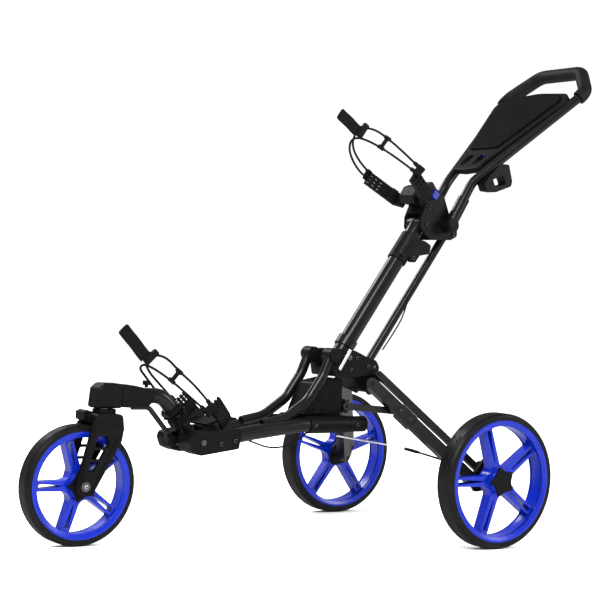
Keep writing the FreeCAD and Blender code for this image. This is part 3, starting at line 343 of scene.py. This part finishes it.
# These nodes look different from the rest of their slot.
SPECIAL = {
    "console_lid": lid_plastic("console_lid_plastic", BLACK),
    "front_head_housing": moulded_plastic("soft_edged_plastic", BLACK, 0.36, edge=0.004),
    "front_axle_bolt": finishes["dark_steel"],
    "pivot_pins": finishes["dark_steel"],
}
# Radius of each wheel, and the number of waves round its tread.
TYRES = {"front": (0.1227, 22), "rear_left": (0.146, 26), "rear_right": (0.146, 26)}

for part in frame["record"]["subparts"]:
    finish = SPECIAL.get(part["node"]) or finishes.get(part["material_slot"])
    if finish:
        piece = NODES[part["node"]]
        piece.data.materials.clear()
        piece.data.materials.append(finish.material)
for wheel, (radius, waves) in TYRES.items():
    rubber = tyre_rubber(f"{wheel}_tyre_rubber", WHEEL_CENTRE[wheel], radius, waves)
    tyre = NODES[f"{wheel}_tyre"]
    tyre.data.materials.clear()
    tyre.data.materials.append(rubber.material)


# ---------------------------------------------------------------- piece makers

def new_piece(name, mesh, finish, body):
    """Puts a mesh or curve in the scene, gives it its finish and lets it ride on a body."""
    piece = bpy.data.objects.new(name, mesh)
    bpy.context.scene.collection.objects.link(piece)
    mesh.materials.append(finish.material)
    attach(piece, body)
    return piece


def moulded_piece(name, mesh, body):
    return new_piece(name, mesh, finishes["moulded_black"], body)


def cord_piece(name, points, diameter, finish, body):
    """A round cord along one smooth curve whose control points are given."""
    curve = bpy.data.curves.new(name, "CURVE")
    curve.dimensions = "3D"
    curve.bevel_depth = diameter / 2
    curve.bevel_resolution = 4
    curve.resolution_u = 12
    curve.use_fill_caps = True
    spline = curve.splines.new("NURBS")
    spline.points.add(len(points) - 1)
    for control, point in zip(spline.points, points):
        control.co = (*point, 1)
    spline.order_u = 3
    spline.use_endpoint_u = True
    return new_piece(name, curve, finish, body)


def lathe(profile, steps=36, corners=0):
    """A mesh turned about Z from pairs of radius and height; corners makes it a polygon."""
    places = []
    for radius, height in profile:
        for step in range(steps):
            angle = 2 * math.pi * step / steps
            reach = radius
            if corners:
                sector = 2 * math.pi / corners
                reach = radius / math.cos((angle % sector) - sector / 2)
            places.append((reach * math.cos(angle), reach * math.sin(angle), height))
    faces = [tuple(reversed(range(steps))), tuple(range(len(places) - steps, len(places)))]
    for ring in range(len(profile) - 1):
        for step in range(steps):
            first = ring * steps + step
            second = ring * steps + (step + 1) % steps
            faces.append((first, second, second + steps, first + steps))
    mesh = bpy.data.meshes.new("turned")
    mesh.from_pydata(places, [], faces)
    mesh.polygons.foreach_set("use_smooth", [True] * len(faces))
    mesh.set_sharp_from_angle(angle=math.radians(32))
    return mesh


def block(low, high, soften=0.001):
    """A box between two corners, with its edges rounded."""
    shape = bmesh.new()
    bmesh.ops.create_cube(shape, size=1)
    for vertex in shape.verts:
        vertex.co = [low[i] + (vertex.co[i] + 0.5) * (high[i] - low[i]) for i in range(3)]
    bmesh.ops.bevel(shape, geom=shape.edges[:], offset=soften, segments=2, affect="EDGES")
    mesh = bpy.data.meshes.new("block")
    shape.to_mesh(mesh)
    shape.free()
    return mesh


def placed(mesh, origin, up, ahead=(1, 0, 0.01)):
    """Turns a mesh so that its own Z axis points up and its X axis as near as can be ahead."""
    up = Vector(up).normalized()
    side = up.cross(Vector(ahead)).normalized()
    turned = Matrix((side.cross(up), side, up)).transposed().to_4x4()
    mesh.transform(Matrix.Translation(origin) @ turned)
    return mesh


def joined(name, meshes):
    """One mesh out of several."""
    shape = bmesh.new()
    for mesh in meshes:
        shape.from_mesh(mesh)
        bpy.data.meshes.remove(mesh)
    whole = bpy.data.meshes.new(name)
    shape.to_mesh(whole)
    shape.free()
    return whole


# ---------------------------------------------------------------- elastic loops

# Middle of each loop's two strands, from the left arm's tip over the crown to the right arm's
# tip (millimetres), with half the distance between the strands at each place.
BUNGEE_ROUTES = {
    "lower": [
        (-600, -72, 289, 9), (-630, -62, 319, 13), (-663, -50, 347, 13), (-692, -37, 373, 18),
        (-707, -12, 379, 14), (-705, 17, 365, 9), (-682, 33, 344, 6), (-640, 53, 312, 8),
        (-608, 72, 290, 9),
    ],
    "upper": [
        (-97, -87, 820, 8), (-127, -67, 848, 11), (-155, -48, 871, 14), (-177, -30, 887, 16),
        (-193, -8, 893, 14), (-198, 16, 881, 8), (-182, 40, 856, 7), (-142, 65, 828, 8),
        (-104, 85, 812, 8),
    ],
}
BAG_DIRECTION = {
    "lower": Vector((0.72, 0, 0.69)).normalized(),
    "upper": Vector((0.565, 0, 0.825)).normalized(),
}
BAG_BODY = {"lower": "frame", "upper": "upper_block"}
STRAP_END = {"lower": 0.101, "upper": 0.084}
BUNGEE_DIAMETER = 0.005
STRAP_THICKNESS = 0.0022
STRAP_HALF_WIDTH = 0.0135
STRAP_CORNER = 0.004
STRAP_START = 0.020
STRAP_DROP = 0.010
SOCKET_PROFILE = [(0.0036, -0.016), (0.0048, -0.013), (0.0048, 0.004), (0.0034, 0.007)]
HOLDER_HALF_THICKNESS = 0.0050
HOLDER_LENGTH = 0.019
HOLDER_MARGIN = 0.0046


def loop_centres(level):
    return [at(*place[:3]) for place in BUNGEE_ROUTES[level]]


def bungee_points(level):
    """The loop out over the crown, round the right arm's hook and back beside itself."""
    bag = BAG_DIRECTION[level]
    centres = loop_centres(level)
    gaps = [place[3] / 1000 for place in BUNGEE_ROUTES[level]]
    out = [centre + bag * gap for centre, gap in zip(centres, gaps)]
    back = [centre - bag * gap for centre, gap in zip(centres, gaps)]
    heading = (centres[-1] - centres[-2]).normalized() * gaps[-1]
    return out[:-1] + [out[-1] + heading, back[-1] + heading] + back[:-1][::-1]


def curve_length(piece):
    """Length of a cord's centre line, measured on its own smooth curve."""
    bare = piece.data.copy()
    bare.bevel_depth = 0
    probe = bpy.data.objects.new("length_probe", bare)
    line = bpy.data.meshes.new_from_object(probe)
    points = [vertex.co.copy() for vertex in line.vertices]
    total = sum((b - a).length for a, b in zip(points, points[1:]))
    bpy.data.objects.remove(probe)
    bpy.data.curves.remove(bare)
    bpy.data.meshes.remove(line)
    return total


def strap_mesh(start, end):
    """A flat strap along X with rounded corners at its end and a slow wave through its length."""
    rows, columns = 40, 8
    top, under = [], []
    for row in range(rows + 1):
        x = start + (end - start) * row / rows
        to_end = end - x
        half = STRAP_HALF_WIDTH
        if to_end < STRAP_CORNER:
            half -= STRAP_CORNER - math.sqrt(STRAP_CORNER ** 2 - (STRAP_CORNER - to_end) ** 2)
        wave = 0.0009 * math.sin(3.0 * math.pi * row / rows)
        for column in range(columns + 1):
            y = half * (2 * column / columns - 1)
            crown = 0.0003 * math.cos(math.pi * y / (2 * STRAP_HALF_WIDTH))
            top.append((x, y, wave + crown + STRAP_THICKNESS / 2))
            under.append((x, y, wave + crown - STRAP_THICKNESS / 2))
    width = columns + 1
    shift = len(top)
    faces = []
    for row in range(rows):
        for column in range(columns):
            a = row * width + column
            faces.append((a, a + width, a + width + 1, a + 1))
            faces.append((a + shift, a + 1 + shift, a + width + 1 + shift, a + width + shift))
        for a in (row * width, row * width + columns):
            faces.append((a, a + shift, a + width + shift, a + width))
    for row_start in (0, rows * width):
        for column in range(columns):
            a = row_start + column
            faces.append((a, a + 1, a + 1 + shift, a + shift))
    mesh = bpy.data.meshes.new("strap")
    mesh.from_pydata(top + under, [], faces)
    shape = bmesh.new()
    shape.from_mesh(mesh)
    bmesh.ops.recalc_face_normals(shape, faces=shape.faces[:])
    shape.to_mesh(mesh)
    shape.free()
    return mesh


def buckle_mesh():
    """Buckle that grips both strands: a body, two cross ribs and a rolled lip for the strap."""
    return joined("buckle", [
        block((0.0045, -0.0185, -0.0052), (0.0185, 0.0175, 0.0052), 0.0014),
        block((0.0062, -0.0188, -0.0056), (0.0094, 0.0178, 0.0056), 0.0009),
        block((0.0128, -0.0182, -0.0056), (0.0154, 0.0172, 0.0056), 0.0009),
        block((0.0175, -0.0172, -0.0034), (0.0222, 0.0058, 0.0034), 0.0012),
    ])


def spacer_mesh(half_gap):
    """H-shaped clip: a sleeve on each strand and a waisted web between the two."""
    sleeve = [(0.0026, -0.008), (0.0042, -0.008), (0.0046, -0.006), (0.0046, 0.006),
              (0.0042, 0.008), (0.0026, 0.008)]
    pieces = []
    for side in (-1, 1):
        mesh = lathe(sleeve, 20)
        mesh.transform(Matrix.Translation((0, side * half_gap, 0)))
        pieces.append(mesh)
    pieces.append(block((-0.0016, -half_gap, -0.0045), (0.0016, half_gap, 0.0045), 0.0008))
    pieces.append(block((-0.0022, -half_gap, -0.0075), (0.0022, 0.004 - half_gap, 0.0075), 0.0008))
    pieces.append(block((-0.0022, half_gap - 0.004, -0.0075), (0.0022, half_gap, 0.0075), 0.0008))
    return joined("spacer", pieces)


for level, bag in BAG_DIRECTION.items():
    centres = loop_centres(level)
    body = BAG_BODY[level]
    outward = Vector((-bag.z, 0, bag.x))
    across = outward.cross(bag)
    crown = (centres[3] + centres[4]) / 2
    points = bungee_points(level)
    cord = cord_piece(f"{level}_elastic_cord", points, BUNGEE_DIAMETER, finishes["elastic_black"],
                      body)
    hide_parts(f"{level}_bungee")

    grip = placed(buckle_mesh(), crown, across, outward)
    buckle = moulded_piece(f"{level}_loop_buckle", grip, body)
    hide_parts(f"{level}_bungee_buckle")

    # The strap leaves the buckle nearer its lower end.
    flat_strap = strap_mesh(STRAP_START, STRAP_END[level])
    strap_side = placed(flat_strap, crown - bag * STRAP_DROP, across, outward)
    weave = webbing(f"{level}_strap_webbing", outward, bag)
    strap = new_piece(f"{level}_pull_strap", strap_side, weave, body)

    run = (centres[3] - centres[1]).normalized()
    gap = BUNGEE_ROUTES[level][2][3] / 1000
    clip = placed(spacer_mesh(gap), centres[2], run, run.cross(bag))
    spacer = moulded_piece(f"{level}_strand_spacer", clip, body)

    # Each strand ends in a moulded socket on the left arm's tip.
    sockets = []
    for end, inner in ((0, 1), (-1, -2)):
        away = (points[inner] - points[end]).normalized()
        sockets.append(placed(lathe(SOCKET_PROFILE, 20), points[end], away, (0, 1, 0)))
    # A moulded holder on each arm's tip takes the strand ends, or the loop's far bend.
    for tip, before, first in ((0, 1, 0.003), (-1, -2, 0.002)):
        into_arm = (centres[tip] - centres[before]).normalized()
        half = BUNGEE_ROUTES[level][tip][3] / 1000 + HOLDER_MARGIN
        low = (-HOLDER_HALF_THICKNESS, -half, first)
        high = (HOLDER_HALF_THICKNESS, half, first + HOLDER_LENGTH)
        holder = block(low, high, 0.0014)
        sockets.append(placed(holder, centres[tip], into_arm, into_arm.cross(bag)))
    moulded_piece(f"{level}_cord_sockets", joined(f"{level}_cord_sockets", sockets), body)

    curve_length(cord)


# ---------------------------------------------------------------- small hardware

def screw(radius):
    """Button-head screw with a hexagon socket, standing on Z = 0."""
    head = lathe([
        (radius, -0.0004), (radius, radius * 0.25), (radius * 0.86, radius * 0.52),
        (radius * 0.56, radius * 0.68),
    ])
    socket = lathe([
        (radius * 0.56, radius * 0.68), (radius * 0.44, radius * 0.66),
        (radius * 0.44, radius * 0.2), (0.0001, radius * 0.18),
    ], corners=6)
    return joined("screw", [head, socket])


def screws(name, body, places, facing, radius, finish="dark_steel"):
    """The same screw at several places (millimetres), as one piece."""
    heads = [placed(screw(radius), at(*place), facing(place)) for place in places]
    new_piece(name, joined(name, heads), finishes[finish], body)


def sideways(place):
    return (0, math.copysign(1, place[1]), 0)


def both_sides(points, y):
    return [(x, side * y, z) for x, z in points for side in (-1, 1)]


screws("casting_screws", "frame", both_sides([(-556, 208), (-522, 214)], 68), sideways, 0.0048)
screws("hub_screws", "frame", both_sides([(-200, 391), (-168, 373), (-214, 364)], 46), sideways,
       0.0046)
screws("tail_cap_screws", "frame", both_sides([(-318, 245)], 69), sideways, 0.0042)
screws("tube_end_screws", "frame", both_sides([(-205, 246.5)], 67), sideways, 0.0042)
screws("upper_block_screws", "upper_block", both_sides([(-9.4, 700), (69, 680), (-4, 738)], 32),
       sideways, 0.005)
screws("bag_bracket_screws", "upper_block", both_sides([(-30, 768), (-26, 752)], 25), sideways,
       0.0038)
screws("collar_screw", "main_tube", [(-36, -20.6, 621)], sideways, 0.0052)
screws("fork_axle_screws", "fork", both_sides([(-850, 122.7)], 39), sideways, 0.0044, "steel")


LEG_SLEEVE_HALF_DEPTH = 0.0134


def leg_point(side, share, height):
    """A point on the outer face of a rear leg's sleeve, and the direction that the face looks."""
    root = at(-166, side * 60, 334)
    foot = at(-18, side * 234, 143)
    across = Vector((18, 0, 22)).cross(foot - root).normalized() * side
    return root + (foot - root) * share + across * height, across


for name, side in SIDES.items():
    for share in (0.30, 0.39):
        place, facing = leg_point(side, share, LEG_SLEEVE_HALF_DEPTH)
        head = placed(screw(0.0042), place, facing)
        new_piece(f"leg_screw_{name}_{round(share * 100)}", head, finishes["dark_steel"],
                  f"rear_leg_{name}")

CAP_PROFILE = [
    (0.0130, 0), (0.0140, 0.001), (0.0140, 0.0022), (0.0128, 0.0032), (0.0072, 0.0034),
    (0.0066, 0.0026), (0.0002, 0.0026),
]
CAPPED_PIVOTS = [
    ("bow_tube_caps", "frame", (-266, 56, 396)),
    ("handle_pivot_caps", "upper_block", (46, 59.2, 700)),
]
for name, body, (x, y, z) in CAPPED_PIVOTS:
    caps = [placed(lathe(CAP_PROFILE), at(x, side * y, z), (0, side, 0)) for side in (-1, 1)]
    moulded_piece(name, joined(name, caps), body)

# Pale flat lever beside the hub.
lever = block((-0.026, -0.0036, 0), (0.026, 0.0036, 0.0018), 0.0006)
placed(lever, at(-243, -59.6, 388), (0, -1, 0), at(-229, 0, 412) - at(-258, 0, 365))
new_piece("hub_release_lever", lever, finishes["steel"], "frame")


def ribbed_knob(radius, length, ribs):
    """A barrel with ribs along it, turned about Z."""
    meshes = [lathe([(radius * 0.8, 0), (radius, 0.001), (radius, length - 0.001),
                     (radius * 0.8, length)])]
    for step in range(ribs):
        angle = 2 * math.pi * step / ribs
        rib = block((-0.0008, -0.0008, 0.0015), (0.0008, 0.0008, length - 0.0015), 0.0004)
        rib.transform(Matrix.Translation((radius * math.cos(angle), radius * math.sin(angle), 0)))
        meshes.append(rib)
    return joined("knob", meshes)


# Raised ridges along the edges of the fork legs, and a rung between them.
FORK_RIDGES = [((-861, 116), (-838, 244)), ((-834, 110), (-777, 226)), ((-838, 246), (-784, 246))]
FORK_FACE = 36
ridges = []
for (x0, z0), (x1, z1) in FORK_RIDGES:
    for side in (-1, 1):
        start = at(x0, side * FORK_FACE, z0)
        run = at(x1, side * FORK_FACE, z1) - start
        bar = block((0, -0.003, -0.0006), (run.length, 0.003, 0.0022), 0.0010)
        ridges.append(placed(bar, start, (0, side, 0), run))
moulded_piece("fork_ridges", joined("fork_ridges", ridges), "fork")

# Moulded clamp around the lower half of the bent front tube: where each step of it starts and
# ends, as shares of the run, and its half width.
stem_low, stem_high = at(-597, 0, 224), at(-664, 0, 303)
stem_run = stem_low - stem_high
CLAMP = [(0.30, 0.46, 0.0200), (0.44, 0.50, 0.0212), (0.50, 0.74, 0.0178), (0.60, 0.62, 0.0184),
         (0.66, 0.68, 0.0184)]
clamps = []
for first, last, half in CLAMP:
    length = stem_run.length * (last - first)
    bar = block((0, -half, -half), (length, half, half), 0.004)
    clamps.append(placed(bar, stem_high + stem_run * first, (0, 1, 0), stem_run))
moulded_piece("stem_clamp", joined("stem_clamp", clamps), "front_arm")

knob = placed(ribbed_knob(0.0105, 0.030, 18), at(-641, -15, 209), (0, 1, 0))
moulded_piece("front_release_knob", knob, "front_arm")

# Stacked cross ribs that stiffen the casting's nose.
ribs = []
for step in range(5):
    x = -622 + 15 * step
    z = 197 + 1.2 * step
    for side in (-1, 1):
        low = at(x, side * 67.2 - 1, z)
        ribs.append(block(low, low + Vector((0.004, 0.002, 0.024)), 0.0007))
new_piece("casting_ribs", joined("casting_ribs", ribs), finishes["cast_black"], "frame")

# Blue stop inside the left console hole.
stop = placed(lathe([(0.0052, 0), (0.0052, 0.002), (0.0040, 0.003), (0.0002, 0.0032)]),
              at(163, -20, 871), (-0.745, 0, -0.667))
new_piece("console_stop", stop, finishes["cam_blue"], "handle")


# ---------------------------------------------------------------- cables

BRAKE_WIRE_DIAMETER = 0.0032
SHEATH_DIAMETER = 0.0046
CABLE_LOOP_DIAMETER = 0.0040
ROD_CABLE_DIAMETER = 0.0032
wire_points = [
    at(-252, -54, 221), at(-180, -60, 210), at(-112, -86, 200), at(-58, -140, 184),
    at(-22, -196, 168),
]
wire = cord_piece("brake_wire", wire_points, BRAKE_WIRE_DIAMETER, finishes["steel"], "frame")
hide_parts("brake_cable")

# A black fitting ends the bare wire; a sheath goes on from it to the wheel bracket.
fitting_end = at(-85, -113, 192)
heading = (wire_points[3] - wire_points[2]).normalized()
FITTING = [(0.0018, -0.020), (0.0034, -0.018), (0.0038, -0.006), (0.0038, 0.010), (0.0028, 0.016)]
fitting = placed(lathe(FITTING, 24), fitting_end, heading, (0, 0, 1))
moulded_piece("brake_wire_fitting", fitting, "frame")
sheath_points = [fitting_end, *wire_points[3:]]
cord_piece("brake_wire_sheath", sheath_points, SHEATH_DIAMETER, finishes["cable_black"], "frame")

# Short loop of brake cable below the left bottom tube, from clip to clip.
loop_points = [
    at(-478, -52, 213), at(-461, -54, 207), at(-432, -54, 198), at(-400, -54, 197),
    at(-366, -54, 206), at(-345, -52, 217), at(-330, -52, 229),
]
cord_piece("brake_cable_loop", loop_points, CABLE_LOOP_DIAMETER, finishes["cable_black"], "frame")

# Cable beside the thin rod, from its middle down to the hub.
rod_points = [at(-38, -9, 523), at(-46, -10, 492), at(-72, -11, 452), at(-104, -11, 410)]
cord_piece("rod_cable", rod_points, ROD_CABLE_DIAMETER, finishes["cable_black"], "fold_rod")


# ---------------------------------------------------------------- studio

FLOOR_HALF = 60.0
CAMERA_PLACE = at(-2392, -3009, 533)
CAMERA_HEADING = math.radians(34.44)
CAMERA_PITCH = math.radians(-0.30)
CAMERA_ROLL = math.radians(2.73)
CAMERA_LENS = 100.1
SENSOR_WIDTH = 36
WORLD_STRENGTH = 1.06
LIGHT_TARGET = Vector((0, 0, 0.5))
# Each area light's place, power in watts and width.
LIGHTS = {
    "key": ((-2.2, -2.4, 3.0), 260, 1.5),
    "fill": ((2.6, -2.2, 1.6), 90, 1.2),
    "rim": ((-0.6, 3.0, 3.0), 220, 1.6),
}


def make_floor():
    mesh = bpy.data.meshes.new("studio_floor")
    half = FLOOR_HALF
    mesh.from_pydata([(-half, -half, 0), (half, -half, 0), (half, half, 0), (-half, half, 0)], [],
                     [(0, 1, 2, 3)])
    floor = bpy.data.objects.new("studio_floor", mesh)
    bpy.context.scene.collection.objects.link(floor)
    paint = Finish("studio_floor_paint", (0.965, 0.965, 0.965), 0.9, 0)
    mesh.materials.append(paint.material)


def make_light(name, place, energy, width):
    light = bpy.data.lights.new(name, "AREA")
    light.energy = energy
    light.size = width
    lamp = bpy.data.objects.new(name, light)
    bpy.context.scene.collection.objects.link(lamp)
    lamp.location = place
    lamp.rotation_euler = (LIGHT_TARGET - Vector(place)).to_track_quat("-Z", "Y").to_euler()


def make_camera():
    """The camera looks along its heading, nearly level, with a slight roll."""
    forward = Vector((math.sin(CAMERA_HEADING) * math.cos(CAMERA_PITCH),
                      math.cos(CAMERA_HEADING) * math.cos(CAMERA_PITCH), math.sin(CAMERA_PITCH)))
    level_right = forward.cross(Vector((0, 0, 1))).normalized()
    level_up = level_right.cross(forward)
    right = level_right * math.cos(CAMERA_ROLL) + level_up * math.sin(CAMERA_ROLL)
    up = level_up * math.cos(CAMERA_ROLL) - level_right * math.sin(CAMERA_ROLL)
    camera_data = bpy.data.cameras.new("camera")
    camera_data.lens = CAMERA_LENS
    camera_data.sensor_width = SENSOR_WIDTH
    camera = bpy.data.objects.new("camera", camera_data)
    bpy.context.scene.collection.objects.link(camera)
    turned = Matrix((right, up, -forward)).transposed().to_4x4()
    camera.matrix_world = Matrix.Translation(CAMERA_PLACE) @ turned
    bpy.context.scene.camera = camera


def make_world():
    world = bpy.data.worlds.new("studio")
    bpy.context.scene.world = world
    world.use_nodes = True
    background = world.node_tree.nodes["Background"]
    background.inputs["Color"].default_value = (1, 1, 1, 1)
    background.inputs["Strength"].default_value = WORLD_STRENGTH


make_floor()
make_camera()
make_world()
for name, (place, energy, width) in LIGHTS.items():
    make_light(name, place, energy, width)
bpy.context.scene.view_settings.view_transform = "Standard"
